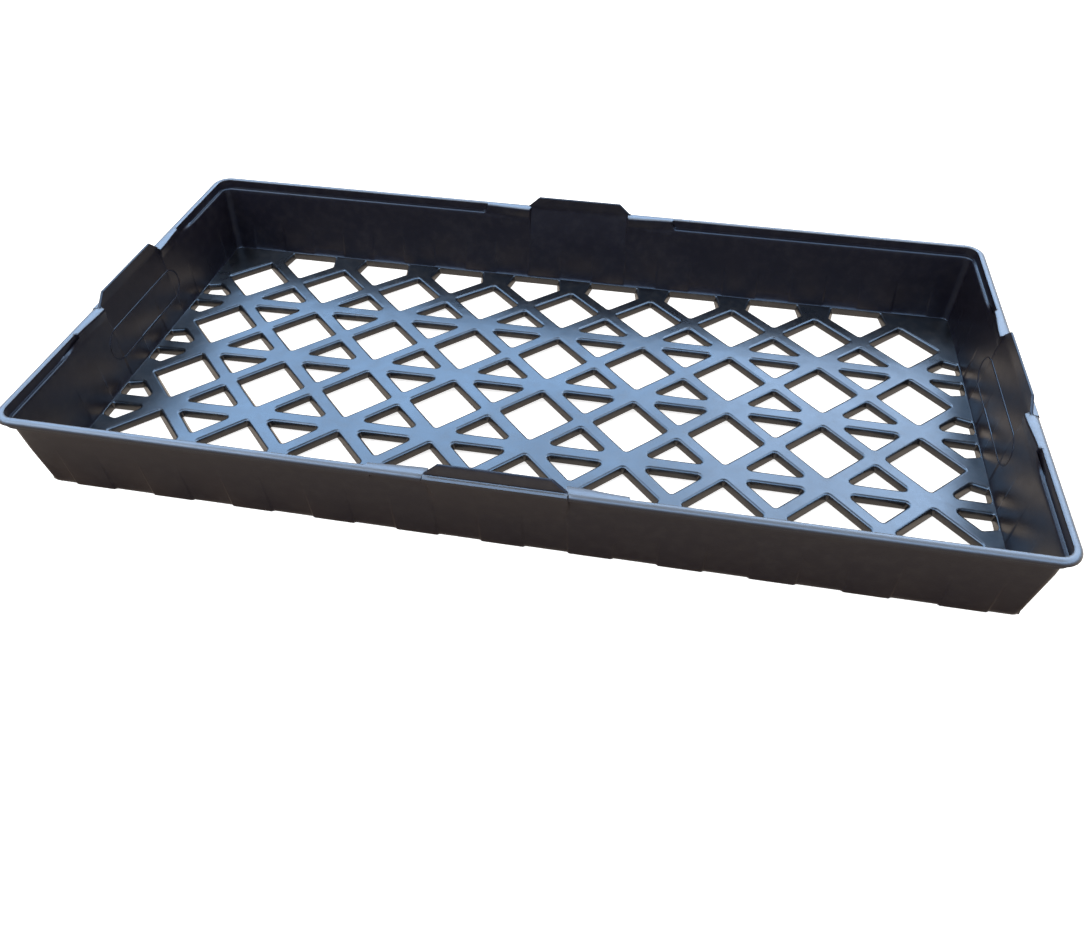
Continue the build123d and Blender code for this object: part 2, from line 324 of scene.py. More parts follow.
def lining(outline, settings, kind, store, beside_wall):
    """Wall of one opening: drafted below, rounded over at the top edge but crisp beside the tray wall."""
    def rings(soft):
        result = [(FLOOR_FOOT - settings.draft, FLOOR_FOOT), (-settings.draft, FLOOR_FOOT + FOOT_CHAMFER),
                  (0.0, settings.top - soft)]
        for s in range(1, ARC_STEPS + 1):
            angle = math.pi / 2 * s / ARC_STEPS
            result.append((soft - soft * math.cos(angle), settings.top - soft + soft * math.sin(angle)))
        result.append((soft + PLATE_LAP, settings.top))
        return result

    columns = [rings(CRISP if beside_wall(point) else settings.soft) for point in outline]
    outward = away(outline)
    first = len(store["points"])
    count = len(outline)
    for level in range(len(columns[0])):
        for point, way, column in zip(outline, outward, columns):
            out, z = column[level]
            store["points"].append(((point[0] + way.x * out) * MM, (point[1] + way.y * out) * MM, z * MM))
            store["kind"].append(kind)
    for r in range(len(columns[0]) - 1):
        for k in range(count):
            a = first + r * count + k
            b = first + r * count + (k + 1) % count
            store["faces"].append((a, a + count, b + count, b))


def opening_templates(settings):
    """One opening of each kind, drawn about its own mesh node."""
    hx, hy = settings.pitch_x / 2, settings.pitch_y / 2
    diagonal = math.hypot(hx, hy)
    shrink = 1 - settings.bar * diagonal / (2 * hx * hy)
    ax, ay = hx * shrink, hy * shrink
    half = settings.long_bar / 2
    cut = ax * (1 - half / ay)
    lean = ay / ax
    end = EDGE_BAND - HALF_COLUMNS * hx + END_GAIN
    side = SIDE_BAND - HALF_ROWS * hy + SIDE_GAIN
    full = [(ax, 0), (0, ay), (-ax, 0), (0, -ay)]
    half_cell = [(cut, half), (0, ay), (-cut, half)]
    pad_rise = -ay + SIDE_PAD * lean
    side_cell = [(0, -ay), (SIDE_PAD, pad_rise), (SIDE_PAD - PAD_JOG, side), (-SIDE_PAD + PAD_JOG, side),
                 (-SIDE_PAD, pad_rise)]
    knee = -ax + END_PAD / lean
    end_cell = [(-cut, half), (end, half), (end, END_PAD - PAD_JOG), (knee, END_PAD)]
    mirrored = [(x, -y) for x, y in reversed(end_cell)]
    store = {"points": [], "faces": [], "kind": []}
    for kind, outline in enumerate((full, half_cell, side_cell, end_cell, mirrored)):
        axis, limit = {2: (1, side), 3: (0, end), 4: (0, end)}.get(kind, (0, math.inf))

        def beside_wall(point):
            return point[axis] > limit - BESIDE_WALL

        lining(rounded(outline, settings.corner), settings, kind, store, beside_wall)
    mesh = bpy.data.meshes.new("floor_mesh_openings")
    mesh.from_pydata(store["points"], [], store["faces"])
    tag = mesh.attributes.new("kind", "INT", "POINT")
    tag.data.foreach_set("value", store["kind"])
    return mesh


def floor_tree():
    """Repeat the openings over the grid, fill the bars between them and bow the mesh."""
    tree = bpy.data.node_groups.new("mesh_floor", "GeometryNodeTree")
    faces_in = tree.interface.new_socket("Openings", in_out="INPUT", socket_type="NodeSocketGeometry")
    for label in ("Pitch along", "Pitch across", "Outline along", "Outline across", "Floor top",
                  "Floor foot", "Crown", "Crown along", "Crown across"):
        tree.interface.new_socket(label, in_out="INPUT", socket_type="NodeSocketFloat")
    tree.interface.new_socket("Finish", in_out="INPUT", socket_type="NodeSocketMaterial")
    tree.interface.new_socket("Mesh", in_out="OUTPUT", socket_type="NodeSocketGeometry")
    given = add_node(tree, "NodeGroupInput").outputs

    def times(a, factor):
        product = add_node(tree, "ShaderNodeMath", {"operation": "MULTIPLY"}, {1: factor}, {0: a})
        return product.outputs["Value"]

    tag = add_node(tree, "GeometryNodeInputNamedAttribute", {"data_type": "INT"}, {"Name": "kind"})
    place = add_node(tree, "GeometryNodeInputPosition").outputs["Position"]
    parts = add_node(tree, "ShaderNodeSeparateXYZ", links={"Vector": place}).outputs

    # kind, columns, rows, spacing of columns and rows in pitches, turn where x or y is negative
    layouts = [(0, 9, 4, 1, 1, None), (1, 8, 3, 1, 1, None), (1, 8, 3, 1, 1, "all"),
               (2, 8, 2, 1, 4, "Y"), (3, 2, 3, 9, 1, "X"), (4, 2, 3, 9, 1, "X")]
    copies = []
    for kind, columns, rows, step_x, step_y, turned in layouts:
        compare = tree.nodes.new("FunctionNodeCompare")
        compare.data_type = "INT"
        compare.operation = "EQUAL"
        sockets = {s.identifier: s for s in compare.inputs}
        sockets["B_INT"].default_value = kind
        tree.links.new(tag.outputs["Attribute"], sockets["A_INT"])
        piece = add_node(tree, "GeometryNodeSeparateGeometry", {"domain": "POINT"},
                         links={"Geometry": given["Openings"], "Selection": compare.outputs["Result"]})
        grid = add_node(tree, "GeometryNodeMeshGrid", inputs={"Vertices X": columns, "Vertices Y": rows},
                        links={"Size X": times(given["Pitch along"], step_x * (columns - 1)),
                               "Size Y": times(given["Pitch across"], step_y * (rows - 1))})
        copy = add_node(tree, "GeometryNodeInstanceOnPoints",
                        links={"Points": grid.outputs["Mesh"], "Instance": piece.outputs["Selection"]})
        if turned == "all":
            copy.inputs["Rotation"].default_value = (0, 0, math.pi)
        elif turned:
            below = add_node(tree, "ShaderNodeMath", {"operation": "LESS_THAN"}, {1: 0.0}, {0: parts[turned]})
            angle = times(below.outputs["Value"], math.pi)
            turn = add_node(tree, "ShaderNodeCombineXYZ", links={"Z": angle})
            tree.links.new(turn.outputs["Vector"], copy.inputs["Rotation"])
        copies.append(copy.outputs["Instances"])
    joined = add_node(tree, "GeometryNodeJoinGeometry")
    for copy in copies:
        tree.links.new(copy, joined.inputs["Geometry"])
    linings = add_node(tree, "GeometryNodeRealizeInstances",
                       links={"Geometry": joined.outputs["Geometry"]}).outputs["Geometry"]

    outline = add_node(tree, "GeometryNodeCurvePrimitiveQuadrilateral", {"mode": "RECTANGLE"},
                       links={"Width": given["Outline along"], "Height": given["Outline across"]})
    neighbours = add_node(tree, "GeometryNodeInputMeshEdgeNeighbors").outputs["Face Count"]
    plates = []
    for level, above in (("Floor top", True), ("Floor foot", False)):
        middle = add_node(tree, "ShaderNodeMath", {"operation": "MULTIPLY"}, {1: 0.5},
                          {0: given["Floor top"]})
        operation = "GREATER_THAN" if above else "LESS_THAN"
        right_level = add_node(tree, "ShaderNodeMath", {"operation": operation},
                               links={0: parts["Z"], 1: middle.outputs["Value"]})
        open_edge = add_node(tree, "ShaderNodeMath", {"operation": "LESS_THAN"}, {1: 1.5}, {0: neighbours})
        both = add_node(tree, "ShaderNodeMath", {"operation": "MULTIPLY"},
                        links={0: right_level.outputs["Value"], 1: open_edge.outputs["Value"]})
        loops = add_node(tree, "GeometryNodeMeshToCurve",
                         links={"Mesh": linings, "Selection": both.outputs["Value"]})
        curves = add_node(tree, "GeometryNodeJoinGeometry")
        tree.links.new(loops.outputs["Curve"], curves.inputs["Geometry"])
        tree.links.new(outline.outputs["Curve"], curves.inputs["Geometry"])
        filled = add_node(tree, "GeometryNodeFillCurve", {"mode": "TRIANGLES"},
                          links={"Curve": curves.outputs["Geometry"]})
        lift = add_node(tree, "ShaderNodeCombineXYZ", links={"Z": given[level]})
        raised = add_node(tree, "GeometryNodeTransform", links={"Geometry": filled.outputs["Mesh"],
                                                                "Translation": lift.outputs["Vector"]})
        plate = raised.outputs["Geometry"]
        if not above:
            plate = add_node(tree, "GeometryNodeFlipFaces", links={"Mesh": plate}).outputs["Mesh"]
        plates.append(plate)
    # outer edge of the floor, buried in the walls
    height = add_node(tree, "ShaderNodeMath", {"operation": "SUBTRACT"},
                      links={0: given["Floor top"], 1: given["Floor foot"]})
    skirt = add_node(tree, "GeometryNodeCurveToMesh",
                     links={"Curve": outline.outputs["Curve"]})
    risen = add_node(tree, "GeometryNodeExtrudeMesh", {"mode": "EDGES"},
                     {"Offset Scale": 1.0}, {"Mesh": skirt.outputs["Mesh"]})
    up = add_node(tree, "ShaderNodeCombineXYZ", links={"Z": height.outputs["Value"]})
    tree.links.new(up.outputs["Vector"], risen.inputs["Offset"])
    down = add_node(tree, "ShaderNodeCombineXYZ", links={"Z": given["Floor foot"]})
    skirt = add_node(tree, "GeometryNodeTransform", links={"Geometry": risen.outputs["Mesh"],
                                                           "Translation": down.outputs["Vector"]})
    flat = add_node(tree, "GeometryNodeSetShadeSmooth", {"domain": "FACE"}, {"Shade Smooth": False})
    plate_join = add_node(tree, "GeometryNodeJoinGeometry")
    for part in (*plates, skirt.outputs["Geometry"]):
        tree.links.new(part, plate_join.inputs["Geometry"])
    tree.links.new(plate_join.outputs["Geometry"], flat.inputs[0])
    rounded_walls = add_node(tree, "GeometryNodeSetShadeSmooth", {"domain": "FACE"}, {"Shade Smooth": True})
    tree.links.new(linings, rounded_walls.inputs[0])
    whole = add_node(tree, "GeometryNodeJoinGeometry")
    tree.links.new(flat.outputs[0], whole.inputs["Geometry"])
    tree.links.new(rounded_walls.outputs[0], whole.inputs["Geometry"])
    welded = add_node(tree, "GeometryNodeMergeByDistance", inputs={"Distance": 0.00002},
                      links={"Geometry": whole.outputs["Geometry"]})

    def fall(axis, reach):
        ratio = add_node(tree, "ShaderNodeMath", {"operation": "DIVIDE"},
                         links={0: parts[axis], 1: given[reach]})
        square = add_node(tree, "ShaderNodeMath", {"operation": "MULTIPLY"},
                          links={0: ratio.outputs["Value"], 1: ratio.outputs["Value"]})
        rest = add_node(tree, "ShaderNodeMath", {"operation": "SUBTRACT", "use_clamp": True}, {0: 1.0},
                        {1: square.outputs["Value"]})
        return rest.outputs["Value"]

    dome = add_node(tree, "ShaderNodeMath", {"operation": "MULTIPLY"},
                    links={0: fall("X", "Crown along"), 1: fall("Y", "Crown across")})
    bow = add_node(tree, "ShaderNodeMath", {"operation": "MULTIPLY"},
                   links={0: dome.outputs["Value"], 1: given["Crown"]})
    shift = add_node(tree, "ShaderNodeCombineXYZ", links={"Z": bow.outputs["Value"]})
    bowed = add_node(tree, "GeometryNodeSetPosition", links={"Geometry": welded.outputs["Geometry"],
                                                             "Offset": shift.outputs["Vector"]})
    real = add_node(tree, "GeometryNodeRealizeInstances", links={"Geometry": bowed.outputs["Geometry"]})
    dressed = add_node(tree, "GeometryNodeSetMaterial", links={"Geometry": real.outputs["Geometry"],
                                                               "Material": given["Finish"]})
    add_node(tree, "NodeGroupOutput", links={"Mesh": dressed.outputs["Geometry"]})
    return tree


def bake(piece):
    """Turn a piece's evaluated modifiers into a plain mesh."""
    graph = bpy.context.evaluated_depsgraph_get()
    mesh = bpy.data.meshes.new_from_object(piece.evaluated_get(graph))
    old = piece.data
    piece.modifiers.clear()
    piece.data = mesh
    bpy.data.meshes.remove(old)
    return piece


class CARRIERTRAY_OT_floor(bpy.types.Operator):
    """Mesh floor: diamond and half-diamond openings between rounded bars"""
    bl_idname = "carriertray.floor"
    bl_label = "Mesh floor"

    def execute(self, context):
        settings = context.scene.carrier_tray_floor
        piece = new_object("floor_mesh", opening_templates(settings))
        finish = plastic_for("mesh")
        tree = floor_tree()
        sizes = {"Pitch along": settings.pitch_x, "Pitch across": settings.pitch_y,
                 "Outline along": 2 * (INNER_X + FLOOR_IN_WALL),
                 "Outline across": 2 * (INNER_Y + FLOOR_IN_WALL),
                 "Floor top": settings.top, "Floor foot": FLOOR_FOOT, "Crown": settings.crown,
                 "Crown along": INNER_X, "Crown across": INNER_Y}
        modifier = piece.modifiers.new("mesh_floor", "NODES")
        modifier.node_group = tree
        for item in tree.interface.items_tree:
            if item.item_type != "SOCKET" or item.in_out != "INPUT":
                continue
            if item.name in sizes:
                modifier[item.identifier] = sizes[item.name] * MM
            elif item.name == "Finish":
                modifier[item.identifier] = finish
        bake(piece)
        if len(piece.data.polygons) < 5000:
            raise RuntimeError("the floor mesh came out empty")
        settle(piece, *FLOOR_NODES)
        return {"FINISHED"}


# ---- shell: walls, rim and grips ----------------------------------------------
def side_sizes(side):
    if side in ("front", "rear"):
        return {"rim": RIM_Y, "base": INNER_Y, "shoulder": SHOULDER_Y, "neck": 66.0, "taper": 3.0,
                "inset": TAB_LONG, "end": CORNER_X, "bands": 11}
    return {"rim": RIM_X, "base": INNER_X, "shoulder": SHOULDER_X, "neck": 62.0, "taper": 20.0,
            "inset": TAB_END, "end": CORNER_Y, "bands": 5}


def band_share(u, size, settings):
    """How fully a point along a side lies on a raised band, 0 to 1."""
    share = 0.0
    for k in range(size["bands"]):
        centre = (k - (size["bands"] - 1) / 2) * settings.flute_pitch
        share = max(share, 0.5 + (settings.flute_pitch / 4 - abs(u - centre)) / 1.6)
    return smooth(share)


def section(u, size, settings, plain=False):
    """Closed outline across the wall at one place along a side: (distance out, height) pairs."""
    rim, base, shoulder = size["rim"], size["base"], size["shoulder"]
    ledge = rim - LEDGE
    t = settings.wall
    tab_out = rim - size["inset"]
    tab_in = tab_out - t
    a = abs(u)
    inner_grip = 0.0 if plain else smooth(0.5 + (GRIP_HALF - t - a) / STEP_BLEND)
    outer_grip = 0.0 if plain else smooth(0.5 + (GRIP_HALF - a) / STEP_BLEND)

    def soft_grip(z, half):
        """Share of the grip panel: it fades in gently low down and sharply near the rim."""
        width = mix(GRIP_BLEND_LOW, STEP_BLEND, smooth((z - GRIP_Z) / (GRIP_BLEND_TOP - GRIP_Z)))
        return 0.0 if plain else smooth(0.5 + (half + 0.4 - width / 2 - a) / width)

    inner_neck = 0.0 if plain else smooth(0.5 + (size["neck"] - a) / STEP_BLEND)
    outer_neck = 0.0 if plain else smooth(0.5 + (size["neck"] - t - a) / STEP_BLEND)
    band = 0.0 if plain else band_share(u, size, settings)
    lift = 0.0 if plain else (TAB_Z - RIM_Z) * min(1.0, max(0.0, (GRIP_HALF - a) / (GRIP_HALF - TAB_HALF)))
    top = RIM_Z + lift

    def wall_line(z):
        return base + (shoulder - base) * z / SHOULDER_Z

    def bulge(z):
        return settings.flute_out * band * max(0.0, 1 - z / settings.flute_top) ** 1.15

    def swell(z, top_out):
        share = min(1.0, max(0.0, (z - GRIP_Z) / (RIM_Z - GRIP_Z)))
        return mix(wall_line(GRIP_Z), top_out, share ** 1.12) if z > GRIP_Z else wall_line(z)

    def inside(z):
        plain_face = wall_line(z) + bulge(z)
        gripped = swell(z, tab_in) + bulge(z)
        return mix(plain_face, gripped, soft_grip(z, GRIP_HALF - t))

    def outside(z):
        gripped = swell(z, tab_in) + bulge(z) + t
        return mix(wall_line(z) + bulge(z) + t, gripped, soft_grip(z, GRIP_HALF))

    # inside face from the bench up to the shoulder
    loop = [(wall_line(0) + bulge(0), 0.0), (wall_line(3.4) + bulge(3), 3.4), (wall_line(4) - 0.15, 4.3),
            (wall_line(5) - 0.15, 5.03), (wall_line(5) - 0.1, 5.08), (wall_line(5.4) - 0.01, 5.3),
            (wall_line(6.6) + bulge(7) * 0.8, 6.6)]
    loop += [(inside(z), z) for z in (11, 16, 22, 26, 30, 34, 38, 42, 46, 48.6)]
    # shoulder, upper wall and flange edge; these close up in the necks and grips
    reach = smooth((a - GRIP_HALF) / max(1.0, size["neck"] - GRIP_HALF))
    neck_edge = shoulder - 0.8 + 1.6 * reach
    plain_points = [(shoulder, 49.6), (shoulder + 0.2, 50.2), (shoulder + 0.6, SHOULDER_Z),
                    (ledge - 0.8, SHOULDER_Z), (ledge - 0.2, SHOULDER_Z + 0.2), (ledge, SHOULDER_Z + 0.8),
                    (ledge, RIM_Z - 1.5), (ledge + 0.35, RIM_Z - 0.45), (ledge + 1.1, RIM_Z)]
    neck_heights = [49.6, 50.6, 51.6, 52.5, 53.4, 54.3, 55.2]
    neck_points = [(mix(shoulder, neck_edge, smooth((z - 48) / 7)), z) for z in neck_heights]
    neck_points += [(neck_edge + 0.4, RIM_Z - 0.45), (neck_edge + 1.2, RIM_Z)]
    grip_heights = [mix(49.6, top - 0.9, k / 9) for k in range(9)]
    grip_points = [(swell(z, tab_in), z) for z in grip_heights]
    low_neck = 0.0 if plain else smooth(0.5 + (size["neck"] + size["taper"] / 2 - a) / size["taper"])
    for n, (flat, neck, gripped) in enumerate(zip(plain_points, neck_points, grip_points)):
        point = [mix(flat[k], neck[k], low_neck if n < 5 else inner_neck) for k in (0, 1)]
        loop.append(tuple(mix(point[k], gripped[k], inner_grip) for k in (0, 1)))
    # foot and inner edge of the tab
    inner_foot = [(tab_in - 0.7, RIM_Z), (tab_in - 0.1, RIM_Z + min(0.2, lift))]
    inner_top = [(tab_in, mix(RIM_Z, top, 0.55)), (tab_in, top - 0.5)]
    foot_gripped = [(tab_in, top - 0.85), (tab_in, top - 0.7), (tab_in, top - 0.6),
                    (tab_in + 0.05, top - 0.4)]
    bead = settings.bead
    raised = min(1.0, lift / 1.0)
    crest = []
    for k, point in enumerate(inner_foot + inner_top):
        flat = [(rim - bead - 1.0, RIM_Z), (rim - bead - 0.8, RIM_Z), (rim - bead - 0.5, RIM_Z),
                (rim - bead - 0.3, RIM_Z)][k]
        stood = [mix(flat[n], point[n], raised) for n in (0, 1)]
        crest.append(tuple(mix(stood[n], foot_gripped[k][n], inner_grip) for n in (0, 1)))
    loop += crest
    # over the outer edge: a rolled bead, or the edge of the tab
    rolled = []
    for k in range(6):
        angle = math.pi / 2 * k / 5
        rolled.append((rim - bead + bead * math.sin(angle), RIM_Z - bead + bead * math.cos(angle)))
    rolled += [(rim, LIP_Z + 0.35), (rim - 0.15, LIP_Z + 0.08), (rim - 0.6, LIP_Z)]
    tab = [(tab_in + 0.35, top - 0.1), (tab_in + 0.8, top), (tab_out - 0.45, top - 0.2), (tab_out, top - 0.9),
           (tab_out, RIM_Z + 0.3), (tab_out + 0.3, RIM_Z), (rim - 0.8, RIM_Z - 0.15), (rim, RIM_Z - 1.0),
           (rim - 0.1, LIP_Z + 0.1)]
    loop += [tuple(mix(rolled[k][n], tab[k][n], outer_grip) for n in (0, 1)) for k in range(9)]
    # under the rim and down the outside
    under = [(rim - 1.3, LIP_Z), (rim - 1.6, LIP_Z + 0.3), (rim - 1.75, RIM_Z - 2.3),
             (rim - 2.1, RIM_Z - 2.05),
             (ledge + t + 0.6, RIM_Z - 2.0), (ledge + t, RIM_Z - 2.6), (ledge + t, SHOULDER_Z - t + 0.7),
             (ledge + t - 0.7, SHOULDER_Z - t), (wall_line(50) + t, SHOULDER_Z - t)]
    neck_under = [(rim - 1.3, LIP_Z), (rim - 1.6, LIP_Z + 0.3), (rim - 1.75, RIM_Z - 2.3),
                  (rim - 2.1, RIM_Z - 2.05),
                  (neck_edge + t + 0.5, RIM_Z - 2.0), (neck_edge + t, RIM_Z - 2.6),
                  (shoulder + t + 0.7, 52.4),
                  (shoulder + t + 0.3, 50.6), (shoulder + t, SHOULDER_Z - t)]
    grip_under = [(rim - 0.5, LIP_Z), (rim - 1.0, LIP_Z), (tab_out + 0.3, LIP_Z),
                  (tab_out + 0.05, LIP_Z - 0.1)]
    grip_under += [(swell(z, tab_in) + t, z) for z in (53.0, 52.2, 51.2, 50.0, 48.8)]
    for flat, neck, gripped in zip(under, neck_under, grip_under):
        point = [mix(flat[k], neck[k], outer_neck) for k in (0, 1)]
        loop.append(tuple(mix(point[k], gripped[k], outer_grip) for k in (0, 1)))
    loop += [(outside(z), z) for z in (45.5, 42, 38, 34, 30, 26, 22, 16, 11, 7, 3, 0.7)]
    loop += [(outside(0) - 0.35, 0.0)]
    return loop


def stations(size, settings):
    """Places along a side where the section is drawn."""
    spots = {-size["end"], size["end"]}
    for k in range(size["bands"] * 2):
        edge = (k - (size["bands"] * 2 - 1) / 2) * settings.flute_pitch / 2
        spots.update(edge + d for d in (-0.85, -0.3, 0.3, 0.85))
    for sign in (-1, 1):
        for d in (-0.45, -0.15, 0.15, 0.45):
            spots.update(sign * (edge + d) for edge in (GRIP_HALF, GRIP_HALF - settings.wall,
                                                        size["neck"], size["neck"] - settings.wall))
        spots.update(sign * (TAB_HALF + d) for d in (-0.6, -0.1, 0.6))
        spots.update(sign * (TAB_HALF + k * 1.2) for k in range(1, 6))
        spots.update(sign * (GRIP_HALF - k * 1.4) for k in range(2, 8))
        spots.update(sign * mix(GRIP_HALF, size["neck"], k / 10) for k in range(1, 10))
        spots.update(sign * (size["neck"] + size["taper"] * k / 8) for k in range(1, 9))
    filled = sorted(spots)
    result = []
    for here, ahead in zip(filled, filled[1:]):
        if result and here - result[-1] < 0.08:
            continue
        result.append(here)
        gap = ahead - here
        parts = int(gap // 12)
        result += [here + gap * k / (parts + 1) for k in range(1, parts + 1)]
    result.append(filled[-1])
    return result


def shell_mesh(settings):
    """Loft the section all the way round the tray."""
    rings = []
    order = ("front", "right", "rear", "left")
    turns = {"front": (0, -1), "right": (1, 0), "rear": (0, 1), "left": (-1, 0)}
    for n, side in enumerate(order):
        size = side_sizes(side)
        out = Vector(turns[side])
        along = Vector((-out.y, out.x))
        for u in stations(size, settings):
            ring = []
            for distance, z in section(u, size, settings, abs(u) >= size["end"] - 0.01):
                spot = out * distance + along * u
                ring.append((spot.x, spot.y, z))
            rings.append(ring)
        # corner between this side and the next
        after = side_sizes(order[(n + 1) % 4])
        out_next = Vector(turns[order[(n + 1) % 4]])
        here = section(0, size, settings, True)
        there = section(0, after, settings, True)
        for s in range(CORNER_STEPS + 1):
            ring = []
            for (d0, z), (d1, _) in zip(here, there):
                inset = size["rim"] - d0
                radius = min(RIM_R, max(WALL_R, RIM_R - inset))
                centre = out * (d0 - radius) + out_next * (d1 - radius)
                angle = math.pi / 2 * s / CORNER_STEPS
                spot = centre + out * (radius * math.cos(angle)) + out_next * (radius * math.sin(angle))
                ring.append((spot.x, spot.y, z))
            rings.append(ring)
    count = len(rings[0])
    points = [(x * MM, y * MM, z * MM) for ring in rings for x, y, z in ring]
    faces = []
    for r in range(len(rings)):
        a, b = r * count, ((r + 1) % len(rings)) * count
        for k in range(count):
            m = (k + 1) % count
            faces.append((a + k, b + k, b + m, a + m))
    for side in ("left", "right"):
        extra, extra_faces = oval_bead(side, settings)
        first = len(points)
        points += [tuple(spot * MM) for spot in extra]
        faces += [tuple(first + n for n in face) for face in extra_faces]
    mesh = bpy.data.meshes.new("tray_shell")
    mesh.from_pydata(points, [], faces)
    return mesh


def oval_bead(side, settings):
    """Blank oval outline moulded on the inside of an end grip: a low bead half sunk in the wall."""
    size = side_sizes(side)
    sign = 1 if side == "right" else -1
    middle, straight, half = 29.0, 33.0, 10.0
    radius, sunk, sides = 0.8, 0.5, 8
    path = []
    for k in range(OVAL_STEPS):
        angle = 2 * math.pi * k / OVAL_STEPS
        shift = straight if math.cos(angle) > 0 else -straight
        path.append((shift + half * math.cos(angle), middle + half * math.sin(angle)))
    spots = []
    for u, z in path:
        face = section(u, size, settings)[6:17]
        low, high = [(a, b) for a, b in zip(face, face[1:]) if a[1] <= z <= b[1]][0]
        out = mix(low[0], high[0], (z - low[1]) / (high[1] - low[1]))
        spots.append(Vector((sign * (out + sunk), u, z)))
    points, faces = [], []
    inward = Vector((-sign, 0, 0))
    for k, spot in enumerate(spots):
        along = (spots[(k + 1) % OVAL_STEPS] - spots[k - 1]).normalized()
        across = along.cross(inward).normalized()
        lift = across.cross(along).normalized()
        for n in range(sides):
            turn = 2 * math.pi * n / sides
            points.append(spot + across * (radius * math.cos(turn)) + lift * (radius * math.sin(turn)))
            a, b = k * sides, ((k + 1) % OVAL_STEPS) * sides
            m = (n + 1) % sides
            faces.append((a + n, b + n, b + m, a + m))
    return points, faces


def clean(mesh, angle=35.0):
    """Weld doubles, drop slivers, point the faces outwards and keep hard edges hard."""
    work = bmesh.new()
    work.from_mesh(mesh)
    bmesh.ops.remove_doubles(work, verts=work.verts, dist=0.00001)
    bmesh.ops.dissolve_degenerate(work, edges=work.edges, dist=0.00001)
    bmesh.ops.recalc_face_normals(work, faces=work.faces)
    work.to_mesh(mesh)
    work.free()
    mesh.shade_smooth()
    mesh.set_sharp_from_angle(angle=math.radians(angle))
    mesh.validate()


class CARRIERTRAY_OT_shell(bpy.types.Operator):
    """Walls, stepped shoulder, rolled rim and the four grips, as one moulded skin"""
    bl_idname = "carriertray.shell"
    bl_label = "Walls, rim and grips"

    def execute(self, context):
        settings = context.scene.carrier_tray_shell
        mesh = shell_mesh(settings)
        clean(mesh)
        piece = new_object("tray_shell", mesh)
        mesh.materials.append(plastic_for("walls"))
        settle(piece, *SHELL_NODES)
        return {"FINISHED"}


# ---- stage --------------------------------------------------------------------
CAMERA_TURN = (2.24136399, 0.202639745, -0.0922853469)
CAMERA_SHIFT = (-0.577435854, 8.1934214, 602.821287)
FOCAL, CENTRE_X, CENTRE_Y = 955.410934, 545.584475, 375.171686
IMAGE_W, IMAGE_H = 1085, 948
STAGE_HALF = 4.0
FLOOR_GLOW = 0.75
SHINE_STRENGTH = 20.0
# height above the horizon as a sine, colour and strength of what the plastic mirrors
SKY_STOPS = [(0.0, "B8A48C", 0.7), (0.03, "D8D4D0", 1.0), (0.20, "C8CCD8", 1.0), (0.44, "A9C9F2", 2.2),
             (0.56, "92B8E4", 14.5), (0.74, "92B8E4", 14.0), (0.80, "A2C2E8", 12.0), (0.89, "A9C9F2", 3.0),
             (1.0, "A9C9F2", 1.0)]
# reach of the painted floor reflection from the inside of the wall foot, metres, and its linear tints: a glow
# that only glossy rays see, bright under the mesh, painted shade in dark brown near the walls, paler further
# out
PAINTED_REFLECTION_NEAR, PAINTED_REFLECTION_FAR = -0.002, 0.16
PAINTED_REFLECTION_STOPS = [(0.0, (1.15, 1.0, 0.86)), (0.012, (1.15, 1.0, 0.86)), (0.03, (0.24, 0.17, 0.11)),
                (0.20, (0.55, 0.45, 0.35)), (0.45, (1.2, 1.05, 0.88)), (1.0, (1.6, 1.44, 1.26))]
# name, place, size and power in watts
SOFTBOXES = (("softbox_left", (-1.4, -1.0, 1.8), 1.4, 18.0), ("softbox_back", (0.9, 1.6, 1.6), 1.6, 14.0))


def ring_light(tree, direction):
    """Brightness and tint of the surroundings by height above the horizon."""
    up = add_node(tree, "ShaderNodeSeparateXYZ", links={"Vector": direction}).outputs["Z"]
    ramp = add_node(tree, "ShaderNodeValToRGB", links={"Fac": up})
    elements = ramp.color_ramp.elements
    while len(elements) > 1:
        elements.remove(elements[-1])
    for k, (place, code, strength) in enumerate(SKY_STOPS):
        stop = elements[0] if k == 0 else elements.new(place)
        stop.position = place
        tint = linear(code)
        stop.color = (*[channel * strength / SHINE_STRENGTH for channel in tint[:3]], 1.0)
    return ramp.outputs["Color"]


def painted_floor_reflection(tree):
    """Painted reflection of the floor, a glow that only glossy rays see: bright under the mesh, painted shade
    in brown near the walls, paler further out.
    """
    place = add_node(tree, "ShaderNodeTexCoord").outputs["Object"]
    parts = add_node(tree, "ShaderNodeSeparateXYZ", links={"Vector": place}).outputs
    reach = []
    for axis, half in (("X", INNER_X), ("Y", INNER_Y)):
        size = add_node(tree, "ShaderNodeMath", {"operation": "ABSOLUTE"}, links={0: parts[axis]})
        past = add_node(tree, "ShaderNodeMath", {"operation": "SUBTRACT"}, {1: half * MM},
                        {0: size.outputs["Value"]})
        reach.append(past.outputs["Value"])
    outside = add_node(tree, "ShaderNodeMath", {"operation": "MAXIMUM"}, links={0: reach[0], 1: reach[1]})
    fade = add_node(tree, "ShaderNodeMapRange", inputs={"From Min": PAINTED_REFLECTION_NEAR, "From Max": PAINTED_REFLECTION_FAR},
                    links={"Value": outside.outputs["Value"]}).outputs["Result"]
    ramp = add_node(tree, "ShaderNodeValToRGB", links={"Fac": fade})
    elements = ramp.color_ramp.elements
    for k, (spot, tint) in enumerate(PAINTED_REFLECTION_STOPS):
        stop = elements[k] if k < len(elements) else elements.new(spot)
        stop.position = spot
        stop.color = (*tint, 1.0)
    return ramp.outputs["Color"]


